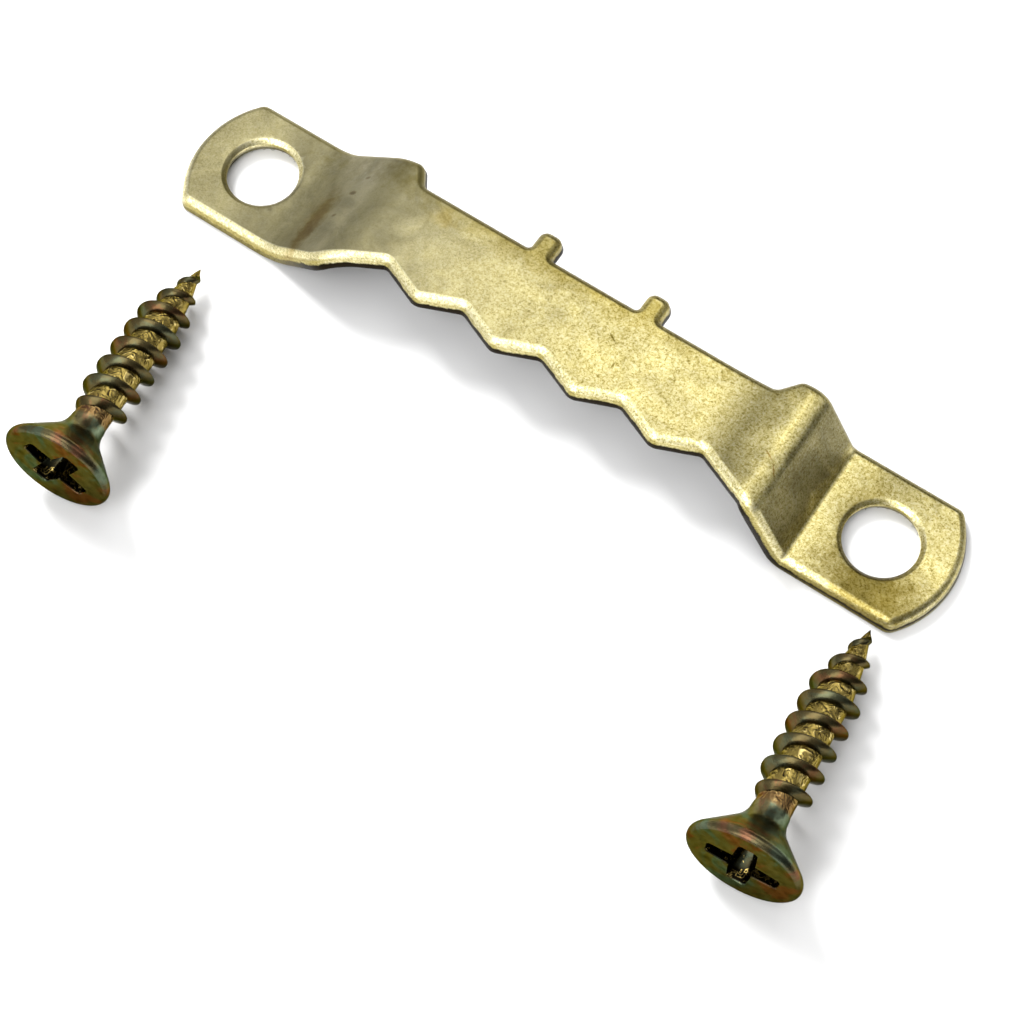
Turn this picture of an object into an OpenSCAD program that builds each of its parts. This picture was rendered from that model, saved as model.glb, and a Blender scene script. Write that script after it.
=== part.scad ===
/* [Plate] */
// Overall length of the plate, from end to end
plate_length = 45; // [43:0.5:50]
// Width of the two flat tabs and of the ears
plate_width = 7.2; // [6.6:0.1:8.5]
// Thickness of the pressed sheet
sheet = 0.9; // [0.6:0.05:1]
// Radius of the rounded outer end of each tab
end_r = 5.4; // [4.5:0.05:7]
// Length of the left tab, from its end to the foot of its ramp
left_tab = 7.1; // [6.6:0.1:7.6]
// Length of the right tab, from its end to the foot of its ramp
right_tab = 7.6; // [6.8:0.1:8]

/* [Screw holes] */
// Diameter of each screw hole
hole_d = 3.8; // [3.1:0.1:4.4]
// Distance from the end of each tab to the centre of its hole
hole_inset = 3.9; // [3.4:0.1:4.2]

/* [Raised middle] */
// Height of the underside of the middle above the surface
rise = 3.1; // [2:0.05:3.4]
// Extra height of the ridge above the steep ramp
ridge_rise = 0.4; // [0.1:0.05:0.6]
// Distance from the ridge to the flat of the middle
ridge_run = 3.2; // [2.6:0.1:3.8]
// Length of the long ramp at the left, along the plate
left_ramp = 4.1; // [3.4:0.1:4.6]
// Length of the steep ramp at the right, along the plate
right_ramp = 2.1; // [1.7:0.1:2.6]
// Centre line radius of the soft bend at the foot of the long ramp
left_foot_r = 3; // [1:0.1:4]
// Centre line radius of the soft bend at the top of the long ramp
left_top_r = 3; // [1:0.1:6]
// Centre line radius of the bend at the foot of the steep ramp
right_foot_r = 0.75; // [0.55:0.05:1]
// Centre line radius of the bend at the ridge
right_ridge_r = 0.9; // [0.6:0.05:1.2]
// Centre line radius where the ridge runs out into the flat
fade_r = 20; // [6:1:30]
// Distance of the middle's outline from the centre of the plate
middle_shift = 0.35; // [0:0.05:0.7]

/* [Sawtooth edge] */
// Number of teeth
tooth_count = 4; // [2:1:5]
// Distance along the plate from the top of each ramp to the outer notch, on average
tooth_inset = 2.85; // [2.4:0.05:4]
// Depth of the notches below the edge of the tabs
notch_depth = 1.55; // [1.2:0.05:1.8]
// Height of each tooth above its notches
tooth_height = 0.95; // [0.6:0.05:1.1]
// Length over which the edge widens from the outer notch to full width
flare_run = 3.3; // [2.8:0.1:3.8]
// Radius where the front edge reaches full width
flare_r = 1.5; // [0.5:0.1:2]
// Distance that the front edge spreads outward beside the long ramp
ramp_spread = 0.2; // [0:0.05:0.4]
// Radius where that spread starts, at the foot of the long ramp
spread_r = 4; // [1:0.5:8]
// Radius in the notches, where the nail rests
notch_r = 0.5; // [0.3:0.05:0.7]
// Radius on the tips of the teeth
tip_r = 0.2; // [0.05:0.05:0.3]

/* [Back edge] */
// Depth of the straight back edge below the edge of the tabs
back_depth = 1.05; // [0.6:0.05:1.3]
// Distance along the plate from the top of the long ramp to the root of the left ear
left_ear_inset = 1.45; // [1.2:0.05:2.2]
// Distance along the plate from the ridge to the root of the right ear
right_ear_inset = 2; // [1.5:0.05:2.6]
// Length of the sloped flank of the left ear, along the plate
left_ear_flank = 0.7; // [0.6:0.05:1.2]
// Length of the sloped flank of the right ear, along the plate
right_ear_flank = 0.9; // [0.6:0.05:1.3]
// Radius on the corner of each ear
ear_r = 0.5; // [0.2:0.05:0.7]
// Radius at the root of each ear
ear_root_r = 0.5; // [0.2:0.05:0.8]
// Distance between the centres of the two nibs
nib_spacing = 6.35; // [5:0.05:9]
// Width of each nib
nib_width = 1.25; // [1:0.05:1.6]
// Height of each nib above the straight back edge
nib_height = 1.3; // [0.8:0.05:1.6]
// Radius on the corners of each nib
nib_r = 0.38; // [0.1:0.02:0.48]
// Radius at the foot of each nib
nib_foot_r = 0.22; // [0.1:0.02:0.4]

/* [Screw] */
// Overall length of each screw
screw_length = 13.5; // [12:0.1:14]
// Diameter of the countersunk head
head_d = 5.5; // [5:0.1:6]
// Height of the thin rim round the head
rim_height = 0.35; // [0.2:0.05:0.5]
// Bevel between the rim and the face of the head
rim_bevel = 0.12; // [0.05:0.01:0.18]
// Diameter over the crests of the thread
crest_d = 2.9; // [2.5:0.05:3]
// Diameter of the core between the crests
core_d = 1.75; // [1.5:0.05:2]
// Distance between two crests
thread_pitch = 1.27; // [1:0.01:1.6]
// Width of a crest where it leaves the core
crest_base = 0.7; // [0.5:0.02:0.9]
// Width of the flat on top of a crest
crest_flat = 0.1; // [0.06:0.02:0.2]
// Diameter of the plain neck
neck_d = 1.85; // [1.6:0.05:2.1]
// Radius that blends the head into the neck
neck_blend_r = 1.4; // [1:0.1:1.8]
// Distance from the face of the head to the first crest
thread_start = 3.15; // [3.05:0.05:3.6]
// Length of the taper that ends in the point
point_length = 3.9; // [3:0.1:5]
// Length of the bare tip past the last crest
bare_tip = 1.2; // [0.8:0.1:1.8]
// Diameter of the blunt end of the point
point_d = 0.3; // [0.1:0.05:0.5]

/* [Cross recess] */
// Width of the recess across two opposite wings
recess_span = 3.3; // [2.8:0.1:3.6]
// Width of each wing
wing_width = 0.9; // [0.6:0.05:1.1]
// Depth of the recess
recess_depth = 1.5; // [1:0.1:1.8]
// Diameter of the recess at its bottom
recess_bottom_d = 1.2; // [0.8:0.1:1.6]

/* [Loose screws] */
// Distance of the left screw's point from the centre of the left hole, to the right
left_point_offset = 0.85; // [-1:0.05:3]
// Gap between the left screw's point and the plate's front edge
left_point_gap = 3.05; // [0.4:0.05:6]
// Direction of the left screw, from its head to its point
left_heading = 98.5; // [85:0.5:105]
// Turn of the left screw about its own axis
left_turn = 40; // [0:5:90]
// Distance of the right screw's point from the centre of the right hole, to the right
right_point_offset = 1.8; // [-1:0.05:3]
// Gap between the right screw's point and the plate's front edge
right_point_gap = 0.85; // [0.4:0.05:6]
// Direction of the right screw, from its head to its point
right_heading = 94; // [85:0.5:100]
// Turn of the right screw about its own axis
right_turn = 0; // [0:5:90]

/* [Hidden] */
$fn = 64;
arc_steps = 6;
overrun = 0.5;
half_length = plate_length / 2;
half_width = plate_width / 2;
blank_end = half_length + overrun;
plate_top = rise + ridge_rise + sheet + overrun;
mid_z = sheet / 2;
flat_z = rise + mid_z;
ridge_z = flat_z + ridge_rise;
left_foot_x = left_tab - half_length;
right_foot_x = half_length - right_tab;
left_top_x = left_foot_x + left_ramp;
right_ridge_x = right_foot_x - right_ramp;
hole_x = half_length - hole_inset;
middle_length = right_ridge_x - left_top_x;
tooth_span = middle_length - tooth_inset * 2;
tooth_pitch = tooth_span / tooth_count;
left_root_x = left_top_x + left_ear_inset;
right_root_x = right_ridge_x - right_ear_inset;
notch_y = notch_depth - half_width;
tooth_y = notch_y - tooth_height;
back_y = half_width - back_depth;
nib_y = back_y + nib_height;
head_r = head_d / 2;
crest_r = crest_d / 2;
core_r = core_d / 2;
neck_r = neck_d / 2;
cone_end = head_r + rim_height - neck_r;
blend_z = cone_end + neck_blend_r * (sqrt(2) - 1);
taper_start = screw_length - point_length;
crest_count = floor((screw_length - bare_tip - thread_start) / thread_pitch) + 1;
full_crests = floor((taper_start - thread_start) / thread_pitch) + 1;
thread_end = thread_start + (full_crests - 1) * thread_pitch + crest_flat / 2;
screw_tilt = atan((head_r - crest_r) / (thread_end - rim_height));
face_z = head_r * cos(screw_tilt) + rim_height * sin(screw_tilt);

// Centre line of the folded strip: x, z and bend radius at each corner
fold_line = [
    [-blank_end, mid_z, 0],
    [left_foot_x, mid_z, left_foot_r],
    [left_top_x, flat_z, left_top_r],
    [right_ridge_x - ridge_run, flat_z, fade_r],
    [right_ridge_x, ridge_z, right_ridge_r],
    [right_foot_x, mid_z, right_foot_r],
    [blank_end, mid_z, 0],
];

function place(corner) = [corner[0], corner[1]];
function unit(v) = v / norm(v);
function cross_z(u, v) = u[0] * v[1] - u[1] * v[0];
function left_normal(u) = [-u[1], u[0]];

// Points of one side of an open line, whose corners are given as x, y and bend radius
function offset_line(line, side) = [
    for (i = [0 : len(line) - 1])
        let (
            last = len(line) - 1,
            here = place(line[i]),
            before = unit(here - place(line[max(i - 1, 0)])),
            after = unit(place(line[min(i + 1, last)]) - here)
        )
        each i == 0 ? [here + left_normal(after) * side]
            : i == last ? [here + left_normal(before) * side]
            : arc_points(here, before, after, line[i][2], side)
];

// Points of the arc at a corner, moved to the left by side
function arc_points(here, before, after, r, side) =
    let (
        turn = atan2(cross_z(before, after), before * after),
        start = here - before * r * tan(abs(turn) / 2),
        centre = start + left_normal(before) * r * sign(turn),
        arm = start + left_normal(before) * side - centre
    )
    [
        for (k = [0 : r > 0 ? arc_steps : 0])
            let (a = turn * k / arc_steps)
            centre + [arm[0] * cos(a) - arm[1] * sin(a), arm[0] * sin(a) + arm[1] * cos(a)],
    ];

// Points of a closed outline whose corners are given as x, y and radius
function rounded(corners) = [
    for (i = [0 : len(corners) - 1])
        let (
            n = len(corners),
            here = place(corners[i]),
            before = unit(here - place(corners[(i + n - 1) % n])),
            after = unit(place(corners[(i + 1) % n]) - here)
        )
        each arc_points(here, before, after, corners[i][2], 0)
];

function reversed(points) = [for (i = [len(points) - 1 : -1 : 0]) points[i]];

// Side view of the folded strip, in x and z
module strip_profile() {
    polygon(concat(
        offset_line(fold_line, -sheet / 2),
        reversed(offset_line(fold_line, sheet / 2))
    ));
}

// Reach of the blank, with the round end of one tab
module end_reach() {
    circle(r = end_r);
    translate([-plate_length, -plate_width])
        square([plate_length, plate_width * 2]);
}

// Corners of the front edge, from left to right: flare, notches and teeth
function front_corners() = [
    [-tooth_span / 2 - flare_run, -half_width - ramp_spread, flare_r],
    for (i = [0 : tooth_count])
        each [
            if (i > 0) [(i - 0.5) * tooth_pitch - tooth_span / 2, tooth_y, tip_r],
            [i * tooth_pitch - tooth_span / 2, notch_y, notch_r],
        ],
    [tooth_span / 2 + flare_run, -half_width, flare_r],
];

// Corners of the nib whose centre is at x
function nib_corners(x) = [
    [x + nib_width / 2, back_y, nib_foot_r],
    [x + nib_width / 2, nib_y, nib_r],
    [x - nib_width / 2, nib_y, nib_r],
    [x - nib_width / 2, back_y, nib_foot_r],
];

// Corners of the back edge, from right to left: ears and nibs
function back_corners() = [
    [right_root_x + right_ear_flank, half_width, ear_r],
    [right_root_x, back_y, ear_root_r],
    each shifted(nib_corners(nib_spacing / 2)),
    each shifted(nib_corners(-nib_spacing / 2)),
    [left_root_x, back_y, ear_root_r],
    [left_root_x - left_ear_flank, half_width, ear_r],
];

function shifted(corners) = [for (c = corners) c + [middle_shift, 0, 0]];

// Whole outline of the plate, seen from above
module plate_outline() {
    intersection() {
        polygon(rounded([
            [-blank_end, -half_width, 0],
            [left_foot_x, -half_width, spread_r],
            each shifted(front_corners()),
            [blank_end, -half_width, 0],
            [blank_end, half_width, 0],
            each back_corners(),
            [-blank_end, half_width, 0],
        ]));
        translate([half_length - end_r, 0])
            end_reach();
        translate([end_r - half_length, 0])
            rotate(180)
                end_reach();
    }
}

// Pressed sheet hanger: flat tabs, ramps, ridges and raised sawtooth middle
module hanger_plate() {
    color("#C9BC7E")
        difference() {
            intersection() {
                linear_extrude(plate_top)
                    plate_outline();
                translate([0, plate_width, 0])
                    rotate([90, 0, 0])
                        linear_extrude(plate_width * 2)
                            strip_profile();
            }
            for (side = [-1, 1])
                translate([side * hole_x, 0, -overrun])
                    cylinder(d = hole_d, h = sheet + overrun * 2);
        }
}

// Share of the full radius that the taper of the point leaves at z
function taper_share(z) = 1 - max(0, z - taper_start) / point_length * (1 - point_d / core_d);

// Section of one crest at z, drawn as a plain ring
function crest_points(z) = [
    for (p = [
        [core_r, z - crest_base / 2],
        [crest_r, z - crest_flat / 2],
        [crest_r, z + crest_flat / 2],
        [core_r, z + crest_base / 2],
    ])
        [p[0] * taper_share(p[1]), p[1]],
];

// Half section of the screw: radius, and distance from the face of the head
module screw_section() {
    difference() {
        polygon([
            [0, 0],
            [head_r - rim_bevel, 0],
            [head_r, rim_bevel],
            [head_r, rim_height],
            [neck_r + neck_blend_r * (1 - sqrt(0.5)), blend_z - neck_blend_r * sqrt(0.5)],
            [neck_r + neck_blend_r, blend_z],
            [neck_r, blend_z],
            [neck_r, thread_start - crest_base / 2],
            for (i = [0 : crest_count - 1])
                each crest_points(thread_start + i * thread_pitch),
            [point_d / 2, screw_length - point_d / 2],
            [0, screw_length],
        ]);
        translate([neck_r + neck_blend_r, blend_z])
            intersection() {
                circle(r = neck_blend_r);
                translate([-neck_blend_r, -neck_blend_r])
                    square([neck_blend_r * 2, neck_blend_r]);
            }
    }
}

// Cross recess that narrows toward its bottom
module cross_recess() {
    intersection() {
        union() {
            square_wing(0);
            square_wing(90);
        }
        translate([0, 0, -overrun])
            cylinder(
                d1 = recess_span + overrun * (recess_span - recess_bottom_d) / recess_depth,
                d2 = recess_bottom_d,
                h = recess_depth + overrun
            );
    }
}

// One pair of opposite wings of the recess
module square_wing(turn) {
    rotate(turn)
        translate([-recess_span, -wing_width / 2, -overrun])
            cube([recess_span * 2, wing_width, recess_depth + overrun * 2]);
}

// Countersunk screw along +Z, with the face of its head at zero
module screw() {
    difference() {
        rotate_extrude()
            screw_section();
        cross_recess();
    }
}

// Screw laid down on its rim and its thread, with its point off the plate's front edge
module lying_screw(point_x, point_gap, heading, turn) {
    translate([point_x, -half_width - point_gap, face_z])
        rotate(heading)
            translate([-screw_length * cos(screw_tilt), 0, 0])
                rotate([0, 90 + screw_tilt, 0])
                    rotate(turn)
                        screw();
}

// Loose screw below the left tab
module left_screw() {
    color("#A79A52")
        lying_screw(left_point_offset - hole_x, left_point_gap, left_heading, left_turn);
}

// Loose screw below the right tab
module right_screw() {
    color("#A79A52")
        lying_screw(hole_x + right_point_offset, right_point_gap, right_heading, right_turn);
}

hanger_plate();
left_screw();
right_screw();
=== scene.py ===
import functools
import math

import bmesh
import bpy
from mathutils import Matrix, Vector


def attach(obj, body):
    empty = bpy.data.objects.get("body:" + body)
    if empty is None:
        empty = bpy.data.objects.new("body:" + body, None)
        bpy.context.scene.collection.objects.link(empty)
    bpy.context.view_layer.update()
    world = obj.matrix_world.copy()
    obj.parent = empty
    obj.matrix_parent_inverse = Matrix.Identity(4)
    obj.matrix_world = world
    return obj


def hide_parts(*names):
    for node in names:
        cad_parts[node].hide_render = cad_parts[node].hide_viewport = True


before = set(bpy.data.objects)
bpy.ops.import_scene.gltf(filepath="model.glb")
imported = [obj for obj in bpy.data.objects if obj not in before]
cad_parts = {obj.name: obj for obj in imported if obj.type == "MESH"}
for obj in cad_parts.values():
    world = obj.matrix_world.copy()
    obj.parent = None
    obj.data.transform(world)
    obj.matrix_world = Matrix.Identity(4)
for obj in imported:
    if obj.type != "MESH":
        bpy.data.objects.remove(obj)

bl_info = {
    "name": "Sawtooth picture hanger",
    "version": (1, 0, 0),
    "blender": (4, 5, 0),
    "location": "3D View > Sidebar > Hanger",
    "description": "Builds the dressed hanger plate, its two loose screws and the stage",
    "category": "Object",
}

MM = 0.001
QUARTER_TURN = math.pi / 2
# Points nearer to each other than this, in millimetres, are one point, and nearer to a cut are on it
MERGE, ON_CUT = 1e-4, 1e-5
# Sockets of a Mix node that mixes colours
MIX_A, MIX_B, MIX_OUT = 6, 7, 2


def millimetres(name, about, value, low=0.0, high=60.0):
    """A length property, written here in millimetres and kept in metres"""
    return bpy.props.FloatProperty(
        name=name, description=about, default=value * MM, min=low * MM, max=high * MM,
        precision=5, subtype="DISTANCE", unit="LENGTH",
    )


def linear(code):
    """A colour written as sRGB hex, as linear RGBA"""
    parts = [int(code[i:i + 2], 16) / 255 for i in (1, 3, 5)]
    return tuple(p / 12.92 if p <= 0.04045 else ((p + 0.055) / 1.055) ** 2.4 for p in parts) + (1.0,)


def finish_colour(name, about, code):
    """A colour property whose default is written as sRGB hex"""
    return bpy.props.FloatVectorProperty(
        name=name, description=about, default=linear(code)[:3], size=3, min=0.0, max=1.0, subtype="COLOR",
    )


def lamp_level(name, about):
    """A factor on the power of one group of lamps"""
    return bpy.props.FloatProperty(name=name, description=about, default=1.0, min=0.0)


class HangerPlateSettings(bpy.types.PropertyGroup):
    """Sizes and colours of the pressed plate"""
    length: millimetres("Length", "Length of the plate from end to end", 45)
    width: millimetres("Width", "Width of the tabs and the ears", 7.2)
    sheet: millimetres("Sheet", "Thickness of the pressed sheet", 0.9)
    end_radius: millimetres("End radius", "Radius of the rounded outer ends", 5.4)
    rise: millimetres("Rise", "Height of the underside of the raised middle", 3.1)
    hole_radius: millimetres("Hole radius", "Radius of the two screw holes", 1.9)
    hole_inset: millimetres("Hole inset", "Distance from each end to the centre of its hole", 3.9)
    rim_roll: millimetres("Rim roll", "Width of the rolled rim round each hole", 0.27)
    rim_drop: millimetres("Rim drop", "Height of the rolled rim round each hole", 0.22)
    edge_roll: millimetres("Edge roll", "Width of the rolled upper edge left by the press tool", 0.38)
    roll_height: millimetres("Roll height", "Height of the rolled upper edge", 0.34)
    edge_spread: millimetres("Edge spread", "How far the sheared edge spreads toward the underside", 0.1)
    hole_spread: millimetres("Hole spread", "How far each hole opens toward the underside", 0.15)
    burr_edge: millimetres("Burr edge", "Width of the small bevel on the underside", 0.05)
    cloud_size: millimetres("Cloud size", "Size of the soft clouds in the plating", 2.6316, 0.1, 20)
    grain: millimetres("Grain", "Size of one fleck of the satin grain", 0.075, 0.01, 2)
    brass: finish_colour("Brass", "Main colour of the brass plating", "#F6EEC3")
    brass_shade: finish_colour("Brass shade", "Duller patches of the plating", "#DDD298")
    # The next three colours are painted light on the rolled edges, set by the way each edge faces: painted
    # shade on the steep front, painted shade on the side of the nibs, and painted highlight on the side of
    # the teeth
    steep_edge_painted_shade: finish_colour("Edge gold", "Darker gold where the plating turns down", "#A79A50")
    rear_edge_painted_shade: finish_colour("Back edge", "Dull olive of the rolled edges on the side of the nibs", "#857C4A")
    front_edge_painted_highlight: finish_colour("Painted edge highlight", "Burnished rolled edges on the side of the teeth", "#FCF6D4")
    # Dark band on the sheared wall under the rolled rim: partly bare steel, partly painted shade
    sheared_steel_and_painted_shade: finish_colour("Edge shade", "Bare sheared edge under the rolled rim", "#1C160A")


class ScrewSettings(bpy.types.PropertyGroup):
    """Sizes and colours of the loose screws"""
    length: millimetres("Length", "Overall length of a screw", 13.7)
    head_radius: millimetres("Head radius", "Radius of the countersunk head", 2.82)
    crest_radius: millimetres("Crest radius", "Radius over the crests of the thread", 1.42)
    root_radius: millimetres("Root radius", "Radius of the core between the crests", 0.88)
    neck_radius: millimetres("Neck radius", "Radius of the plain neck", 0.925)
    pitch: millimetres("Pitch", "Distance between two crests", 1.27)
    patch_size: millimetres("Patch size", "Size of the coloured patches of the finish", 2.38095, 0.1, 20)
    smear_size: millimetres("Smear size", "Size of the small dark smears", 0.45455, 0.1, 20)
    crinkle_size: millimetres("Crinkle size", "Size of the creases in the thread roots", 0.52632, 0.1, 20)
    zinc: finish_colour("Zinc", "Main olive colour of the yellow zinc", "#625B3F")
    zinc_green: finish_colour("Zinc green", "Green-grey patches of the finish", "#5A6450")
    zinc_pink: finish_colour("Zinc pink", "Pink-brown patches of the finish", "#74523C")
    # Brown painted shade on the thread flanks and in the root creases
    brown_painted_shade: finish_colour("Zinc brown", "Dark brown of the thread flanks", "#3C2F15")
    zinc_gold: finish_colour("Zinc gold", "Gold of the rough thread roots", "#8F7D43")
    # Painted glints on the ridges of the root creases
    zinc_painted_glint: finish_colour("Zinc bright", "Brightest creases of the thread roots", "#D2BC78")
    # Painted shade inside the cross recess, and painted glints in it
    recess_painted_shade: finish_colour("Recess dark", "Dark inside of the cross recess", "#0E0C06")
    recess_painted_glint: finish_colour("Recess glint", "Slivers of bright zinc inside the recess", "#B09A58")


class StageSettings(bpy.types.PropertyGroup):
    """Floor and light"""
    floor: finish_colour("Floor", "Colour of the plain floor", "#DCDCDC")
    overhead: lamp_level("Overhead", "Strength of the overhead softbox")
    front: lamp_level("Front", "Strength of the softbox in front, which lights the rolled edges")
    key: lamp_level("Key", "Strength of the left lamps that cast the shadows")


# Small helpers for materials and meshes

def rgba(colour):
    """A colour setting with full opacity"""
    return (*colour, 1)


def add_node(tree, kind, inputs=None, stops=(), **settings):
    """Adds one shader node with its settings, values or links for its inputs, and colour ramp stops"""
    new = tree.nodes.new("ShaderNode" + kind)
    for name, value in settings.items():
        setattr(new, name, value)
    for socket, value in (inputs or {}).items():
        if isinstance(value, bpy.types.NodeSocket):
            tree.links.new(value, new.inputs[socket])
        else:
            new.inputs[socket].default_value = value
    for i, (place, shade) in enumerate(stops):
        element = new.color_ramp.elements[i] if i < 2 else new.color_ramp.elements.new(place)
        element.position = place
        element.color = shade if isinstance(shade, tuple) else (shade, shade, shade, 1)
    return new.outputs


def new_material(name):
    """An empty node material, and the function that adds a node to it"""
    material = bpy.data.materials.new(name)
    material.use_nodes = True
    material.node_tree.nodes.clear()
    return material, functools.partial(add_node, material.node_tree)


def to_object(bm, name):
    """Turns the bmesh, built in millimetres, into an object in metres at the origin"""
    bmesh.ops.scale(bm, vec=(MM, MM, MM), verts=bm.verts)
    mesh = bpy.data.meshes.new(name)
    for face in bm.faces:
        face.smooth = True
    bm.to_mesh(mesh)
    bm.free()
    piece = bpy.data.objects.new(name, mesh)
    bpy.context.scene.collection.objects.link(piece)
    return piece


def edges_of(verts):
    """Edges whose two ends are both among the verts"""
    chosen = set(verts)
    near = {edge for vert in chosen for edge in vert.link_edges}
    return [edge for edge in near if edge.verts[0] in chosen and edge.verts[1] in chosen]


def verts_in(geom):
    """Vertices among the mixed results of an operator"""
    return [g for g in geom if isinstance(g, bmesh.types.BMVert)]


def open_edges_in(geom):
    """Edges on the rim of the mesh, among the mixed results of an operator"""
    return [g for g in geom if isinstance(g, bmesh.types.BMEdge) and len(g.link_faces) == 1]


# Shape of the plate in millimetres, as in the part's source apart from TIP_R, NIB_R and CORNER_R.
# These three are larger here, because the rolled edge has to stay narrower than an outer corner.
LEFT_TAB, RIGHT_TAB = 7.1, 7.6
LEFT_RAMP, RIGHT_RAMP = 4.1, 2.1
LEFT_FOOT_R, LEFT_TOP_R, FADE_R, RIDGE_R, RIGHT_FOOT_R = 3, 3, 20, 0.9, 0.75
RIDGE_RISE, RIDGE_RUN = 0.4, 3.2
SHIFT = 0.35
TEETH, TOOTH_SPAN, NOTCH_DEPTH, TOOTH_HEIGHT = 4, 18.4, 1.55, 0.95
FLARE_RUN, FLARE_R, NOTCH_R, TIP_R = 3.3, 1.5, 0.5, 0.6
SPREAD, SPREAD_R = 0.2, 4
BACK_DEPTH, LEFT_ROOT, RIGHT_ROOT = 1.05, -9.85, 10.8
LEFT_FLANK, RIGHT_FLANK, EAR_R, EAR_ROOT_R = 0.7, 0.9, 0.5, 0.5
NIB_SPACING, NIB_WIDTH, NIB_HEIGHT, NIB_R, NIB_FOOT_R = 6.35, 1.25, 1.3, 0.46, 0.22
CORNER_R = 0.5
# Length of the flat strip past each end of the plate, which the fold needs
OVERRUN = 1
# Steps of the rounded parts
CORNER_STEPS, END_STEPS, HOLE_STEPS, ROLL_STEPS, BURR_STEPS = 6, 24, 96, 8, 2
BEND_STEPS, WIDE_BEND_STEPS, WIDE_BEND_R = 14, 8, 5
# Shape of the rolled edge: 1 is a quarter ellipse and 2 a straight bevel
ROLL_POWER = 1.3
# Shape of a hole's rim: 1 is a straight cone, and more turns down later
RIM_POWER = 1.4
# Narrow flat band inside the rolled edge, which keeps the roll's shading off the flat
FLAT_BAND = 0.04
# Share of the sheet's depth at which the sheared edge starts to spread, and over which it does
SHEAR_START, SHEAR_RUN = 0.4, 0.5
# Slack in millimetres by which an edge still belongs to a hole's wall, and twice that for a vertex
WALL_SLACK = 0.1
# Sideways part of a normal below which a vertex is on a level face
LEVEL_NORMAL = 0.03
# Width of one cell of the grid that lets the flat blank bend, and rows up the sheared wall
CELL = 0.45
WALL_ROWS = (0.12, 0.25, 0.38, 0.5, 0.6)


def hole_place(s):
    """Distance of each hole's centre from the middle of the plate, and its radius, in millimetres"""
    return (s.length / 2 - s.hole_inset) / MM, s.hole_radius / MM


def fold_corners(length, sheet, rise):
    """Corners of the folded centre line: x, z and bend radius"""
    half, mid = length / 2, sheet / 2
    left_foot, right_foot = LEFT_TAB - half, half - RIGHT_TAB
    left_top, ridge = left_foot + LEFT_RAMP, right_foot - RIGHT_RAMP
    flat = rise + mid
    return [
        (-half - OVERRUN, mid, 0),
        (left_foot, mid, LEFT_FOOT_R),
        (left_top, flat, LEFT_TOP_R),
        (ridge - RIDGE_RUN, flat, FADE_R),
        (ridge, flat + RIDGE_RISE, RIDGE_R),
        (right_foot, mid, RIGHT_FOOT_R),
        (half + OVERRUN, mid, 0),
    ]


def bend_spans(corners):
    """For each bend of the centre line: start, end, centre, radius, and which side the centre is on"""
    spans = []
    for (x0, z0, _), (x1, z1, r), (x2, z2, _) in zip(corners, corners[1:], corners[2:]):
        corner = Vector((x1, z1))
        before = Vector((x1 - x0, z1 - z0)).normalized()
        after = Vector((x2 - x1, z2 - z1)).normalized()
        turn = math.atan2(before.x * after.y - before.y * after.x, before.dot(after))
        reach = r * math.tan(abs(turn) / 2)
        start, end = corner - before * reach, corner + after * reach
        side = math.copysign(1, turn)
        centre = start + Vector((-before.y, before.x)) * r * side
        spans.append((start, end, centre, r, side))
    return spans


def centre_line(x, spans):
    """Height and slope angle of the folded centre line at x"""
    last = Vector((-1e3, spans[0][0].y))
    for start, end, centre, r, side in spans:
        if x < start.x:
            share = (x - last.x) / (start.x - last.x)
            return last.y + (start.y - last.y) * share, math.atan2(start.y - last.y, start.x - last.x)
        if x < end.x:
            across = (x - centre.x) / r
            return centre.y - side * r * math.sqrt(1 - across * across), math.asin(across) * side
        last = end
    return last.y, 0.0


def edge_corners(width, length, end_r):
    """Corners of the front edge from left to right, then the back edge from right to left: x, y, radius"""
    half_w = width / 2
    corner_x = length / 2 - end_r + math.sqrt(end_r ** 2 - half_w ** 2)
    notch_y, back_y = NOTCH_DEPTH - half_w, half_w - BACK_DEPTH
    first, pitch = SHIFT - TOOTH_SPAN / 2, TOOTH_SPAN / TEETH
    front = [
        (-corner_x, -half_w, CORNER_R),
        (LEFT_TAB - length / 2, -half_w, SPREAD_R),
        (first - FLARE_RUN, -half_w - SPREAD, FLARE_R),
        (first, notch_y, NOTCH_R),
    ]
    for i in range(TEETH):
        front.append((first + (i + 0.5) * pitch, notch_y - TOOTH_HEIGHT, TIP_R))
        front.append((first + (i + 1) * pitch, notch_y, NOTCH_R))
    front.append((first + TOOTH_SPAN + FLARE_RUN, -half_w, FLARE_R))
    front.append((corner_x, -half_w, CORNER_R))
    back = [
        (corner_x, half_w, CORNER_R),
        (RIGHT_ROOT + RIGHT_FLANK, half_w, EAR_R),
        (RIGHT_ROOT, back_y, EAR_ROOT_R),
    ]
    nib_y = back_y + NIB_HEIGHT
    nib = ((1, back_y, NIB_FOOT_R), (1, nib_y, NIB_R), (-1, nib_y, NIB_R), (-1, back_y, NIB_FOOT_R))
    for x in (SHIFT + NIB_SPACING / 2, SHIFT - NIB_SPACING / 2):
        back += [(x + side * NIB_WIDTH / 2, y, r) for side, y, r in nib]
    back += [
        (LEFT_ROOT, back_y, EAR_ROOT_R),
        (LEFT_ROOT - LEFT_FLANK, half_w, EAR_R),
        (-corner_x, half_w, CORNER_R),
    ]
    return front, back


def round_corner(bm, x, y, r):
    """Rounds the outline's corner nearest to the place"""
    corner = min(bm.verts, key=lambda v: (v.co.x - x) ** 2 + (v.co.y - y) ** 2)
    arms = [(edge.other_vert(corner).co - corner.co).normalized() for edge in corner.link_edges]
    turn = math.pi - arms[0].angle(arms[1])
    bmesh.ops.bevel(
        bm, geom=[corner], offset=r * math.tan(turn / 2), offset_type="OFFSET", segments=CORNER_STEPS,
        profile=0.5, affect="VERTICES", material=-1, clamp_overlap=False,
    )


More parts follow.
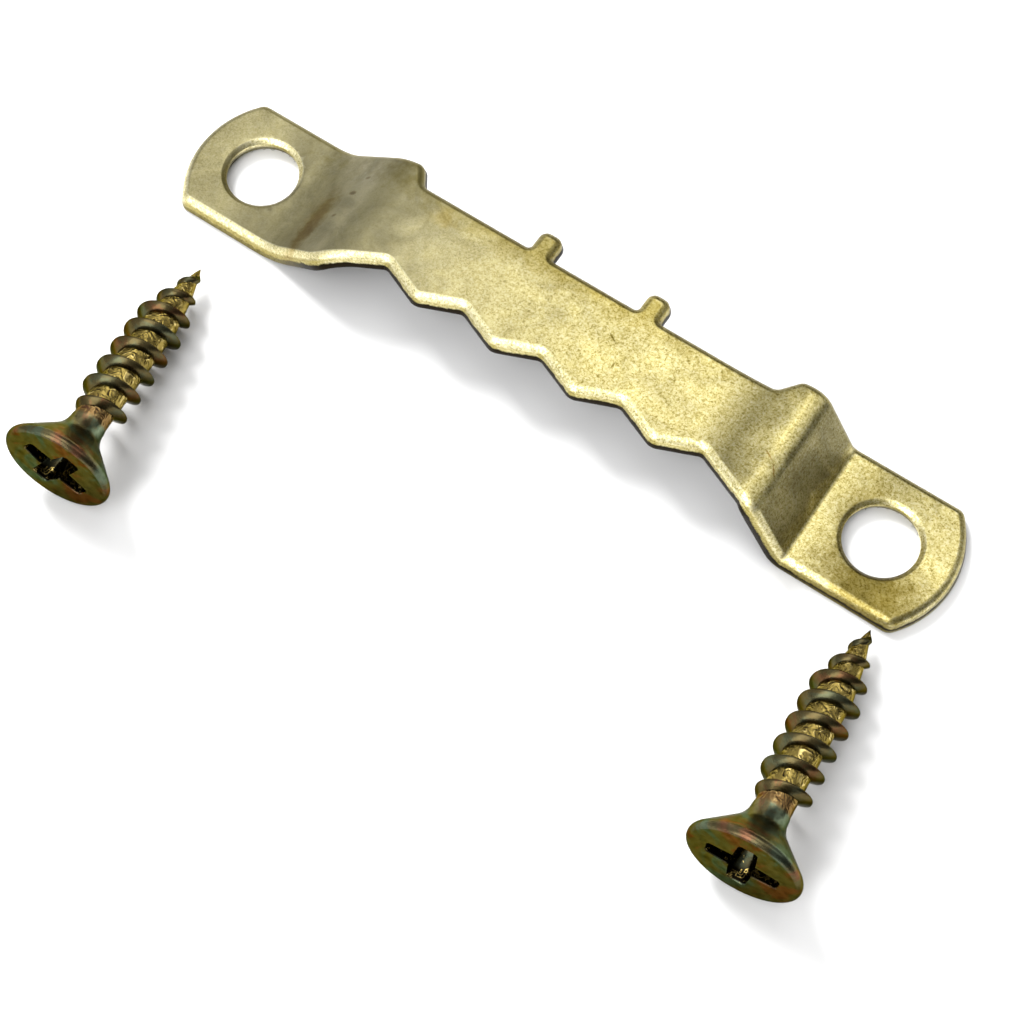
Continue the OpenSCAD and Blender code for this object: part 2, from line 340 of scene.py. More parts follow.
def blank_outline(bm, width, length, end_r, level):
    """One flat face with the outline of the blank: round ends, teeth, ears and nibs"""
    front, back = edge_corners(width, length, end_r)
    sweep = 2 * math.asin(width / 2 / end_r)
    for side, chain in ((1, front), (-1, back)):
        line = [bm.verts.new((x, y, level)) for x, y, r in chain]
        for a, b in zip(line, line[1:]):
            bm.edges.new((a, b))
        bmesh.ops.spin(
            bm, geom=[line[-1]], cent=(side * (length / 2 - end_r), 0, level), axis=(0, 0, 1),
            angle=sweep, steps=END_STEPS,
        )
    bmesh.ops.remove_doubles(bm, verts=bm.verts, dist=MERGE)
    bmesh.ops.contextual_create(bm, geom=bm.edges[:])
    for x, y, r in front + back:
        round_corner(bm, x, y, r)
    face = bm.faces[:][0]
    if face.normal.z < 0:
        bmesh.ops.reverse_faces(bm, faces=[face])
    return face


def inset_up(bm, face, width, height):
    """Insets the face by the width and lifts it by the height"""
    bmesh.ops.inset_region(
        bm, faces=[face], thickness=width, depth=height, use_boundary=True, use_even_offset=True,
    )


def roll_in(bm, face, width, height, steps):
    """Insets the outline in a rounded bevel that curves from upright to flat"""
    into, up = 0.0, 0.0
    for k in range(1, steps + 1):
        a = QUARTER_TURN * k / steps
        next_in = width * (1 - math.cos(a) ** ROLL_POWER)
        next_up = height * math.sin(a) ** ROLL_POWER
        inset_up(bm, face, next_in - into, next_up - up)
        into, up = next_in, next_up


def draw_rim(bm, ring, hole_r, width, drop, steps, centre):
    """Draws a flat circle of edges down into the hole, steeper toward its inner edge"""
    reach, down = hole_r + width, 0.0
    for k in range(1, steps + 1):
        next_reach = hole_r + width * (1 - k / steps)
        next_down = drop * (k / steps) ** RIM_POWER
        grown = bmesh.ops.extrude_edge_only(bm, edges=ring)["geom"]
        verts = verts_in(grown)
        share = next_reach / reach
        bmesh.ops.scale(bm, vec=(share, share, 1), space=Matrix.Translation((-centre, 0, 0)), verts=verts)
        bmesh.ops.translate(bm, vec=(0, 0, down - next_down), verts=verts)
        ring, reach, down = open_edges_in(grown), next_reach, next_down


def plate_skin(s, top):
    """Upper or lower skin of the blank, still flat, with its edge roll and hole rims"""
    bm = bmesh.new()
    hole_x, hole_r = hole_place(s)
    if top:
        roll, height, steps = s.edge_roll / MM, s.roll_height / MM, ROLL_STEPS
        rim, drop = s.rim_roll / MM, s.rim_drop / MM
    else:
        roll = height = rim = drop = s.burr_edge / MM
        steps = BURR_STEPS
    flat = s.sheet / MM if top else 0.0
    face = blank_outline(bm, s.width / MM, s.length / MM, s.end_radius / MM, flat - height)
    roll_in(bm, face, roll, height, steps)
    if top:
        inset_up(bm, face, FLAT_BAND, 0)
    loop = face.edges[:]
    bmesh.ops.delete(bm, geom=[face], context="FACES_ONLY")
    rings = []
    for side in (-1, 1):
        place = Matrix.Translation((side * hole_x, 0, flat))
        circle = bmesh.ops.create_circle(bm, segments=HOLE_STEPS, radius=hole_r + rim, matrix=place)
        rings.append(edges_of(circle["verts"]))
    bmesh.ops.triangle_fill(bm, use_beauty=True, edges=loop + rings[0] + rings[1], normal=(0, 0, 1))
    for side, ring in zip((-1, 1), rings):
        draw_rim(bm, ring, hole_r, rim, drop, steps, side * hole_x)
    if not top:
        bmesh.ops.scale(bm, vec=(1, 1, -1), verts=bm.verts)
    bmesh.ops.recalc_face_normals(bm, faces=bm.faces)
    return bm


def joined_skins(s):
    """Upper and lower skin in one mesh, bridged round the outline and through the holes"""
    bm, lower = plate_skin(s, True), plate_skin(s, False)
    scrap = bpy.data.meshes.new("lower_skin")
    lower.to_mesh(scrap)
    lower.free()
    bm.from_mesh(scrap)
    bpy.data.meshes.remove(scrap)
    hole_x, hole_r = hole_place(s)
    walls = {-1: [], 0: [], 1: []}
    for edge in bm.edges:
        if len(edge.link_faces) == 1:
            middle = (edge.verts[0].co + edge.verts[1].co) / 2
            side = math.copysign(1, middle.x)
            inside = math.hypot(middle.x - side * hole_x, middle.y) < hole_r + WALL_SLACK
            walls[int(side) if inside else 0].append(edge)
    for loops in walls.values():
        bmesh.ops.bridge_loops(bm, edges=loops)
    bmesh.ops.recalc_face_normals(bm, faces=bm.faces)
    return bm


def cut(bm, place, way, chosen=None):
    """Cuts the mesh, or the chosen faces, along a plane without parting it"""
    if chosen is None:
        geom = bm.verts[:] + bm.edges[:] + bm.faces[:]
    else:
        faces = [f for f in bm.faces if chosen(f)]
        geom = faces + list({e for f in faces for e in f.edges}) + list({v for f in faces for v in f.verts})
    bmesh.ops.bisect_plane(bm, geom=geom, dist=ON_CUT, plane_co=place, plane_no=way)


def lies_flat(face):
    """Whether the face is level"""
    return abs(face.normal.z) > 0.999


def stands_upright(face):
    """Whether the face is part of the sheared wall"""
    return abs(face.normal.z) < 0.01


def cut_grid(bm, s, spans):
    """Cuts the blank across at every step of the bends and at each cell, and into rows"""
    length, width, sheet = s.length / MM, s.width / MM, s.sheet / MM
    cuts = []
    for start, end, centre, r, side in spans:
        steps = BEND_STEPS if r < WIDE_BEND_R else WIDE_BEND_STEPS
        cuts += [start.x + (end.x - start.x) * k / steps for k in range(steps + 1)]
    half_cells = int(length / 2 / CELL)
    cells = [CELL * k for k in range(-half_cells, half_cells + 1)]
    cuts += [x for x in cells if min(abs(x - c) for c in cuts) > CELL / 3]
    for x in cuts:
        cut(bm, (x, 0, 0), (1, 0, 0))
    rows = int(width / 2 / CELL) + 1
    for k in range(-rows, rows + 1):
        cut(bm, (0, CELL * k, 0), (0, 1, 0), lies_flat)
    for share in WALL_ROWS:
        cut(bm, (0, 0, sheet * share), (0, 0, 1), stands_upright)
    bmesh.ops.triangulate(bm, faces=[f for f in bm.faces if len(f.verts) > 4])


def shear_spread(bm, s):
    """Spreads the sheared edge outward toward the underside, and opens the holes the same way"""
    sheet = s.sheet / MM
    hole_x, hole_r = hole_place(s)
    bm.normal_update()
    moves = []
    for v in bm.verts:
        way = Vector((v.normal.x, v.normal.y, 0))
        depth = 1 - v.co.z / sheet
        if way.length < LEVEL_NORMAL or depth < SHEAR_START:
            continue
        side = math.copysign(1, v.co.x)
        in_hole = math.hypot(v.co.x - side * hole_x, v.co.y) < hole_r + 2 * WALL_SLACK
        share = min(1.0, (depth - SHEAR_START) / SHEAR_RUN)
        share = share * share * (3 - 2 * share)
        moves.append((v, way.normalized() * share * (-s.hole_spread if in_hole else s.edge_spread) / MM))
    for v, move in moves:
        v.co += move


def build_plate(s):
    """Blank with rolled edges and hole rims, cut into a fine grid along every bend and folded into shape"""
    bm = joined_skins(s)
    sheet = s.sheet / MM
    spans = bend_spans(fold_corners(s.length / MM, sheet, s.rise / MM))
    cut_grid(bm, s, spans)
    shear_spread(bm, s)
    depth = bm.verts.layers.float.new("sheet_depth")
    for v in bm.verts:
        v[depth] = 1 - v.co.z / sheet
        z, slope = centre_line(v.co.x, spans)
        above = v.co.z - sheet / 2
        v.co = Vector((v.co.x - above * math.sin(slope), v.co.y, z + above * math.cos(slope)))
    return to_object(bm, "hanger_plate_pressed")


# Brightness of the plating along the plate, from the left end at 0 to the right end at 1: painted shade over
# the ramps and the wall, and painted highlight on the ridge. Set against the photograph.
PAINTED_LIGHT_ALONG_PLATE = (
    (0.0, 0.38), (0.07, 0.46), (0.11, 0.27), (0.14, 0.28), (0.16, 0.39), (0.21, 0.26), (0.24, 0.34),
    (0.28, 0.33), (0.32, 0.47), (0.38, 0.54), (0.5, 0.65), (0.59, 0.8), (0.69, 0.75), (0.71, 0.5),
    (0.735, 0.26), (0.755, 0.37), (0.77, 0.47), (0.785, 0.9), (0.791, 0.9), (0.798, 0.28),
    (0.825, 0.37), (0.834, 0.9), (0.86, 0.68), (0.9, 0.5), (0.925, 0.55), (0.95, 0.74), (1.0, 0.7),
)
# How strongly the flecks show along the plate: least on the left ramp, which is rubbed smooth
FLECK_AMOUNT = ((0.0, 0.6), (0.12, 0.3), (0.26, 0.2), (0.4, 0.75), (0.55, 1.0), (1.0, 1.0))
FLECKS = ((0.34, "#9A9062"), (0.45, "#D8D1A8"), (0.54, "#F6F2DA"), (0.62, "#FFFFFF"))
# Painted highlight and painted shade on the rolled edges by the way they face in Y: where the tone starts,
# where it is full, its share and its name
EDGE_PAINTED_LIGHT = (
    (-0.06, -0.35, 0.85, "front_edge_painted_highlight"),
    (-0.8, -0.97, 0.85, "steep_edge_painted_shade"),
    (0.06, 0.35, 0.75, "rear_edge_painted_shade"),
)
# Marks and broad patches of painted shade on the upper side: x, y, reach in x and in y, turn in degrees,
# strength, and the colour that the plating is multiplied by
MARKS_AND_PAINTED_SHADE = (
    (-14.1, -0.9, 0.72, 1.9, 3, 0.85, "#CDBB80"),
    (-14.04, -2.3, 0.5, 1.9, 0, 0.8, "#C8B270"),
    (-7.88, 1.52, 0.8, 0.6, 0, 0.5, "#FFEFB4"),
    (-13.07, 0.72, 0.2, 0.15, 0, 0.8, "#A08A5C"),
    (-12.91, 1.82, 0.17, 0.14, 20, 0.7, "#A08A5C"),
    (-13.1, -0.86, 0.18, 0.14, 0, 0.7, "#A08A5C"),
    (2.79, 0.49, 0.36, 0.06, -31, 0.9, "#9A9060"),
    (3.6, -0.74, 0.06, 0.2, 0, 0.9, "#9A9060"),
    (12.35, -0.8, 0.45, 0.06, -30, 0.8, "#BA9E6A"),
    (12.9, -1.3, 0.4, 0.06, -55, 0.8, "#BA9E6A"),
    # The last three are broad painted shade: the near side of the right tab, beside the right hole, and the
    # far side of the middle
    (19.4, -2.5, 3.4, 2.4, 0, 0.95, "#AAA176"),
    (17.2, 0.9, 1.3, 2.2, 0, 0.6, "#C4BC92"),
    (-2.0, 2.7, 14.0, 1.5, 0, 0.8, "#CFC79A"),
)
# Size of the mottled patches and of the grain's noise, and height of the grain, in flecks
MOTTLE_FLECKS, GRAIN_FLECKS, GRAIN_HEIGHT = 8, 1.6, 0.4
MOTTLE_HEIGHT = 0.04 * MM


def plating_tone_with_painted_light(node, s, along, clouds, mottle):
    """Colour of the plating before its flecks: two tones of brass, with painted shade along the ramps and
    painted highlight on the ridge
    """
    # Painted shade and painted highlight along the plate, varied by the clouds
    level = node("ValToRGB", {"Fac": along}, stops=PAINTED_LIGHT_ALONG_PLATE)["Color"]
    cloudy = node("MapRange", {
        "Value": clouds, "From Min": 0.35, "From Max": 0.65, "To Min": 0.8, "To Max": 1.12,
    })["Result"]
    level = node("Math", {0: level, 1: cloudy}, operation="MULTIPLY")["Value"]
    patches = node("Mix", {
        "Factor": mottle, MIX_A: rgba(s.brass_shade), MIX_B: rgba(s.brass),
    }, data_type="RGBA")[MIX_OUT]
    return node("Mix", {
        "Factor": 1.0, MIX_A: patches, MIX_B: level,
    }, data_type="RGBA", blend_type="MULTIPLY")[MIX_OUT]


def tint_edges_with_painted_light(node, s, tone):
    """Colour with painted highlight and painted shade on the rolled edges by the way they face, and the mask
    of the painted highlight on the teeth's side
    """
    facing = node("SeparateXYZ", {"Vector": node("NewGeometry")["Normal"]})["Y"]
    masks = []
    for start, full, share, setting in EDGE_PAINTED_LIGHT:
        mask = node("MapRange", {
            "Value": facing, "From Min": start, "From Max": full, "To Max": share,
        })["Result"]
        tone = node("Mix", {
            "Factor": mask, MIX_A: tone, MIX_B: rgba(getattr(s, setting)),
        }, data_type="RGBA")[MIX_OUT]
        masks.append(mask)
    return tone, masks[0]


def marked_and_painted_shade(node, place, mottle, tone):
    """Colour with the marks laid over it, each with a ragged edge: pits, scratches, darker stripes and tints,
    and broad patches of painted shade
    """
    for x, y, reach_x, reach_y, turn, strength, mark_colour in MARKS_AND_PAINTED_SHADE:
        near = node("Mapping", {
            "Vector": place, "Location": (x * MM, y * MM, 0), "Rotation": (0, 0, math.radians(turn)),
            "Scale": (reach_x * MM, reach_y * MM, 1),
        }, vector_type="TEXTURE")["Vector"]
        off = node("VectorMath", {0: near}, operation="LENGTH")["Value"]
        ragged = node("Math", {0: mottle, 1: 1.2, 2: off}, operation="MULTIPLY_ADD")["Value"]
        mask = node("MapRange", {
            "Value": ragged, "From Min": 1.0, "From Max": 1.7, "To Min": strength, "To Max": 0.0,
        })["Result"]
        tone = node("Mix", {
            "Factor": mask, MIX_A: tone, MIX_B: linear(mark_colour),
        }, data_type="RGBA", blend_type="MULTIPLY")[MIX_OUT]
    return tone


def dark_edge_band_mask(node, s, x, mottle):
    """Share of the dark band on the sheared wall, partly bare steel and partly painted shade: below a ragged
    line, weaker at the left end and low at the right end
    """
    half = s.length / 2
    depth = node("Attribute", attribute_name="sheet_depth")["Fac"]
    ragged = node("Math", {0: mottle, 1: 0.4, 2: -0.2}, operation="MULTIPLY_ADD")["Value"]
    ragged = node("Math", {0: depth, 1: ragged}, operation="ADD")["Value"]
    sheared = node("ValToRGB", {"Fac": ragged}, stops=((0.54, 0.0), (0.64, 1.0)))["Color"]
    left_end = node("MapRange", {
        "Value": x, "From Min": s.end_radius * 1.3 - half, "From Max": s.end_radius * 1.8 - half,
        "To Min": 0.5, "To Max": 1.0,
    })["Result"]
    sheared = node("Math", {0: sheared, 1: left_end}, operation="MULTIPLY")["Value"]
    low = node("MapRange", {"Value": depth, "From Min": 0.7, "From Max": 0.85})["Result"]
    right_end = node("MapRange", {
        "Value": x, "From Min": half - s.end_radius * 1.5, "From Max": half - s.end_radius * 0.8,
        "To Max": 0.7,
    })["Result"]
    plated = node("Math", {0: low, 1: right_end}, operation="MULTIPLY")["Value"]
    return node("Math", {0: sheared, 1: plated}, operation="SUBTRACT")["Value"]


def brass_plated_steel(s):
    """Satin brass plating on a pressed steel sheet"""
    # Barrel plating over tumbled steel: pale soft reflections, broken into fine bright and olive flecks, with
    # painted highlight and painted shade laid along the plate and on its edges
    material, node = new_material("satin_brass_plating")
    place = node("TexCoord")["Object"]
    x = node("SeparateXYZ", {"Vector": place})["X"]
    clouds = node("TexNoise", {
        "Vector": place, "Scale": 1 / s.cloud_size, "Detail": 5.0, "Roughness": 0.6, "Distortion": 0.9,
    })["Fac"]
    mottle = node("TexNoise", {
        "Vector": place, "Scale": 1 / s.grain / MOTTLE_FLECKS, "Detail": 4.0, "Roughness": 0.65,
    })["Fac"]
    # Real plating grain is too fine to show, so its flecks are drawn as coarse as 0.12 mm
    grain = node("TexNoise", {
        "Vector": place, "Scale": 1 / s.grain / GRAIN_FLECKS, "Detail": 4.0, "Roughness": 0.75,
        "Distortion": 0.6,
    })["Fac"]
    along = node("MapRange", {"Value": x, "From Min": -s.length / 2, "From Max": s.length / 2})["Result"]
    # The clouds shift the stretches of painted highlight and painted shade to and fro
    wander = node("Math", {0: clouds, 1: 0.03, 2: -0.015}, operation="MULTIPLY_ADD")["Value"]
    along = node("Math", {0: along, 1: wander}, operation="ADD")["Value"]
    amount = node("ValToRGB", {"Fac": along}, stops=FLECK_AMOUNT)["Color"]
    # Painted shade and highlight along the plate, then painted highlight and shade on the rolled edges
    tone = plating_tone_with_painted_light(node, s, along, clouds, mottle)
    tone, front = tint_edges_with_painted_light(node, s, tone)
    flecks = node("ValToRGB", {"Fac": grain}, stops=[(at, linear(code)) for at, code in FLECKS])["Color"]
    sparkle = node("Math", {0: amount, 1: front}, operation="MAXIMUM")["Value"]
    tone = node("Mix", {
        "Factor": sparkle, MIX_A: tone, MIX_B: flecks,
    }, data_type="RGBA", blend_type="MULTIPLY")[MIX_OUT]
    # Marks, and broad patches of painted shade
    tone = marked_and_painted_shade(node, place, mottle, tone)
    # Dark band on the sheared wall: bare steel and painted shade
    colour = node("Mix", {
        "Factor": dark_edge_band_mask(node, s, x, mottle), MIX_A: tone, MIX_B: rgba(s.sheared_steel_and_painted_shade),
    }, data_type="RGBA")[MIX_OUT]
    height = node("Math", {0: grain, 1: amount}, operation="MULTIPLY")["Value"]
    relief = node("Bump", {"Height": height, "Strength": 0.4, "Distance": s.grain * GRAIN_HEIGHT})["Normal"]
    relief = node("Bump", {
        "Height": mottle, "Strength": 0.3, "Distance": MOTTLE_HEIGHT, "Normal": relief,
    })["Normal"]
    polish = node("MapRange", {"Value": clouds, "To Min": 0.42, "To Max": 0.28})["Result"]
    satin = node("MapRange", {"Value": amount, "To Min": 0.12, "To Max": 0.0})["Result"]
    polish = node("Math", {0: polish, 1: satin}, operation="ADD")["Value"]
    surface = node("BsdfPrincipled", {
        "Base Color": colour, "Metallic": 1.0, "Roughness": polish, "Normal": relief,
    })["BSDF"]
    node("OutputMaterial", {"Surface": surface})
    return material


class HANGER_OT_build_plate(bpy.types.Operator):
    """Build the pressed plate with its brass finish"""
    bl_idname = "hanger.build_plate"
    bl_label = "Build hanger plate"

    def execute(self, context):
        s = context.scene.hanger_plate
        piece = build_plate(s)
        piece.data.materials.append(brass_plated_steel(s))
        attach(piece, "hanger")
        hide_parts("hanger_plate")
        return {"FINISHED"}


# Shape of a screw in millimetres. Heights are measured from the face of the head toward the point.
THREAD_START, THREAD_END = 3.3, 9.75
RIM_HEIGHT, RIM_CONE = 0.35, 0.4
# Rounded rim of the head: distance inside the widest circle, and height
RIM_PROFILE = (
    (0.2, 0), (0.12, 0.03), (0.05, 0.09), (0.01, 0.17), (0, 0.26), (0.015, 0.35), (0.06, 0.44),
    (0.12, RIM_CONE + 0.12),
)
NECK_BLEND_R, BLEND_STEPS, NECK_END, ROOT_START = 1.4, 6, 2.9, 3.15
# The point: run and share of the root's radius at its shoulder, and radius and length of its sharp end
SHOULDER_RUN, SHOULDER_SHARE, POINT_RADIUS, POINT_LENGTH = 2.1, 0.62, 0.14, 0.35
LATHE_STEPS, TURN_STEPS = 56, 44
# Cross recess: reach and half width of an arm, where the arm starts to narrow, and depth
RECESS_REACH, ARM_HALF, ARM_NARROWS, RECESS_DEPTH = 1.8, 0.56, 0.7, 1.5
# End of an arm: share of its reach at the shoulder, and shares of its half width there and at the end
ARM_SHOULDER, SHOULDER_HALF, END_HALF = 0.93, 0.85, 0.6
# Recess from the face down: height of each step, and the share of the cross that is left below it
RECESS_STEPS = ((0.06, 0.97), (0.44, 0.9), (0.5, 0.68), (RECESS_DEPTH - 1.0, 0.34))
# Thread ridge: how far its foot is sunk in the root, half widths of foot and crest, and start of its fillet
RIDGE_SUNK, FOOT_HALF, CREST_HALF, FILLET_RISE, FILLET_SHARE = 0.12, 0.36, 0.05, 0.06, 0.72
# The ridge ends this far before the point, and fades in at the neck: lead, run and least share
RIDGE_STOP, FADE_LEAD, FADE_RUN, LEAST_FADE = 0.4, 0.1, 0.9, 0.05
# Thread radius down the point: share it loses, how late it loses it, least share, and least radius
POINT_LOSS, POINT_POWER, LEAST_SHARE, LEAST_RADIUS = 0.93, 1.15, 0.03, 0.01
# Rough root from here on, and shade in the recess: its top, the end of its full part, slack, and level below
ROUGH_START, SHADE_TOP, FULL_SHADE_END, SHADE_SLACK, DEEP_SHADE = 3.1, 0.03, 0.9, 0.1, 0.75
# Node, side of the hole beside it, the point's offset from that hole and its gap to the front edge,
# heading in degrees, and turn about its own axis
SCREWS = (
    ("left_screw", -1, 0.9, 2.78, 98.5, 40),
    ("right_screw", 1, 1.87, 0.65, 94, 0),
)


def screw_body(bm, s):
    """Lathed head, cone, neck and core, open at the face of the head"""
    head, neck, root, length = (v / MM for v in (s.head_radius, s.neck_radius, s.root_radius, s.length))
    points = [(head - inside, z) for inside, z in RIM_PROFILE]
    cone_end = head + RIM_CONE - neck
    blend_z = cone_end + NECK_BLEND_R * (math.sqrt(2) - 1)
    for k in range(BLEND_STEPS + 1):
        a = math.radians(45 * (1 - k / BLEND_STEPS))
        points.append((neck + NECK_BLEND_R * (1 - math.cos(a)), blend_z - NECK_BLEND_R * math.sin(a)))
    points += [
        (neck, NECK_END), (root, ROOT_START), (root, THREAD_END),
        (root * SHOULDER_SHARE, THREAD_END + SHOULDER_RUN),
        (POINT_RADIUS, length - POINT_LENGTH), (0, length),
    ]
    line = [bm.verts.new((r, 0, z)) for r, z in points]
    edges = [bm.edges.new(pair) for pair in zip(line, line[1:])]
    bmesh.ops.spin(
        bm, geom=line + edges, cent=(0, 0, 0), axis=(0, 0, 1), angle=2 * math.pi, steps=LATHE_STEPS,
        use_merge=True,
    )
    bmesh.ops.remove_doubles(bm, verts=bm.verts, dist=MERGE)


def cross_outline():
    """Corners of one arm of the cross, from the inner corner before it to its far side"""
    end = (RECESS_REACH, ARM_HALF * END_HALF)
    shoulder = (RECESS_REACH * ARM_SHOULDER, ARM_HALF * SHOULDER_HALF)
    half = [end, shoulder, (ARM_NARROWS, ARM_HALF)]
    return [(ARM_HALF, -ARM_HALF)] + [(x, -y) for x, y in reversed(half)] + half


def cross_face(bm):
    """Face of the head with its cross recess, tapered down to the bottom"""
    rim = edges_of([v for v in bm.verts if v.co.z < MERGE])
    outline = []
    for quarter in range(4):
        turn = Matrix.Rotation(quarter * QUARTER_TURN, 3, "Z")
        outline += [bm.verts.new(turn @ Vector((x, y, 0))) for x, y in cross_outline()]
    loop = [bm.edges.new(pair) for pair in zip(outline, outline[1:] + outline[:1])]
    for edge in loop + rim:
        edge.smooth = False
    bmesh.ops.triangle_fill(bm, use_beauty=True, edges=rim + loop, normal=(0, 0, -1))
    size = 1.0
    for down, share in RECESS_STEPS:
        grown = bmesh.ops.extrude_edge_only(bm, edges=loop)["geom"]
        bmesh.ops.scale(bm, vec=(share / size, share / size, 1), verts=verts_in(grown))
        bmesh.ops.translate(bm, vec=(0, 0, down), verts=verts_in(grown))
        loop, size = open_edges_in(grown), share
    bmesh.ops.triangle_fill(bm, use_beauty=True, edges=loop, normal=(0, 0, -1))


def point_taper(z, length):
    """Share of the full thread radius that is left at that height"""
    if z < THREAD_END:
        return 1.0
    return max(LEAST_SHARE, 1 - POINT_LOSS * ((z - THREAD_END) / (length - THREAD_END)) ** POINT_POWER)


def thread_ridge(bm, s):
    """Helical ridge of the thread, which fades in at the neck and runs down the point"""
    root, crest, pitch, length = (v / MM for v in (s.root_radius, s.crest_radius, s.pitch, s.length))
    turns = (length - RIDGE_STOP - THREAD_START) / pitch
    steps = int(turns * TURN_STEPS)
    fillet = (root + FILLET_RISE, FOOT_HALF * FILLET_SHARE)
    half = [(crest, CREST_HALF), fillet, (root - RIDGE_SUNK, FOOT_HALF)]
    profile = [(r, -z) for r, z in reversed(half)] + half
    face = bm.faces.new([bm.verts.new((r, 0, THREAD_START + z)) for r, z in profile])
    before = len(bm.verts) - len(profile)
    bmesh.ops.spin(
        bm, geom=[face], cent=(0, 0, 0), axis=(0, 0, 1), dvec=(0, 0, turns * pitch / steps),
        angle=2 * math.pi * turns, steps=steps,
    )
    bm.verts.ensure_lookup_table()
    for v in bm.verts[before:]:
        radius, z = math.hypot(v.co.x, v.co.y), v.co.z
        taper = point_taper(z, length)
        fade = min(1.0, max(LEAST_FADE, (z - THREAD_START + FADE_LEAD) / FADE_RUN))
        reach = root * taper + (radius - root) * (taper if radius > root else 1) * fade
        v.co.x *= max(reach, LEAST_RADIUS) / radius
        v.co.y *= max(reach, LEAST_RADIUS) / radius


def paint_body(bm):
    """Marks the rough thread root and the shaded recess, before the thread is there"""
    rough = bm.verts.layers.float.new("thread_root")
    shade = bm.verts.layers.float.new("recess_shade")
    for v in bm.verts:
        radius, z = math.hypot(v.co.x, v.co.y), v.co.z
        v[rough] = 1.0 if z > ROUGH_START else 0.0
        if radius < RECESS_REACH + SHADE_SLACK and SHADE_TOP < z < RECESS_DEPTH + SHADE_SLACK:
            v[shade] = 1.0 if z < FULL_SHADE_END else DEEP_SHADE


def build_screw(s, name, place, turn):
    """One threaded screw, laid down where the frame has it"""
    bm = bmesh.new()
    screw_body(bm, s)
    cross_face(bm)
    paint_body(bm)
    thread_ridge(bm, s)
    local = bm.verts.layers.float_vector.new("screw_place")
    for v in bm.verts:
        v[local] = v.co
    bmesh.ops.recalc_face_normals(bm, faces=bm.faces)
    bmesh.ops.transform(bm, matrix=place @ Matrix.Rotation(turn, 4, "Z"), verts=bm.verts)
    piece = to_object(bm, name)
    piece.modifiers.new("Flat faces stay flat", "WEIGHTED_NORMAL").keep_sharp = True
    return piece


def lying_place(s, point_x, point_y, heading):
    """Matrix that lays a screw down on its rim and its thread, in millimetres"""
    head, crest, length = s.head_radius / MM, s.crest_radius / MM, s.length / MM
    tilt = math.atan((head - crest) / (THREAD_END - RIM_HEIGHT))
    face_z = head * math.cos(tilt) + RIM_HEIGHT * math.sin(tilt)
    return (
        Matrix.Translation((point_x, point_y, face_z))
        @ Matrix.Rotation(math.radians(heading), 4, "Z")
        @ Matrix.Translation((-length * math.cos(tilt), 0, 0))
        @ Matrix.Rotation(QUARTER_TURN + tilt, 4, "Y")
    )


# Height of the creases in the thread roots and of the smears elsewhere
CREASE_HEIGHT, SMEAR_HEIGHT = 0.08 * MM, 0.03 * MM
# Share of brown painted shade over the film on the thread
THREAD_PAINTED_SHADE = 0.62


def zinc_film(node, s, z, patches, smear):
    """Colour of the smooth parts: olive film with green and pink patches, aged, with painted shade on the
    face of the head and painted sheen on its cone, and brown painted shade on the thread
    """
    film = node("ValToRGB", {"Fac": patches}, stops=(
        (0.4, rgba(s.zinc_green)), (0.47, rgba(s.zinc)), (0.53, rgba(s.zinc)), (0.6, rgba(s.zinc_pink)),
    ))["Color"]
    aged = node("ValToRGB", {"Fac": smear}, stops=((0.3, 0.5), (0.5, 0.85), (0.7, 1.1)))["Color"]
    # Painted shade on the face of the head and painted sheen on its cone: the face is darker than the cone
    painted_head_light = node("MapRange", {
        "Value": z, "From Min": 0.05, "From Max": 0.5, "To Min": 0.8, "To Max": 1.45,
    })["Result"]
    for layer in (painted_head_light, aged):
        film = node("Mix", {
            "Factor": 1.0, MIX_A: film, MIX_B: layer,
        }, data_type="RGBA", blend_type="MULTIPLY")[MIX_OUT]
    # Brown painted shade over the thread
    threaded = node("MapRange", {
        "Value": z, "From Min": 2.9, "From Max": 3.4, "To Max": THREAD_PAINTED_SHADE,
    })["Result"]
    return node("Mix", {
        "Factor": threaded, MIX_A: film, MIX_B: rgba(s.brown_painted_shade),
    }, data_type="RGBA")[MIX_OUT]


def root_colour(node, s, z, crinkle):
    """Colour of the rough thread roots: creased gold with brown painted shade in the creases and painted
    glints on their ridges, pinker near the neck
    """
    creased = node("ValToRGB", {"Fac": crinkle}, stops=(
        (0.3, rgba(s.brown_painted_shade)), (0.38, rgba(s.zinc_gold)), (0.58, rgba(s.zinc_gold)),
        (0.68, rgba(s.zinc_painted_glint)),
    ))["Color"]
    near_neck = node("MapRange", {"Value": z, "From Min": 4.3, "From Max": 3.5, "To Max": 0.65})["Result"]
    return node("Mix", {
        "Factor": near_neck, MIX_A: creased, MIX_B: rgba(s.zinc_pink),
    }, data_type="RGBA")[MIX_OUT]


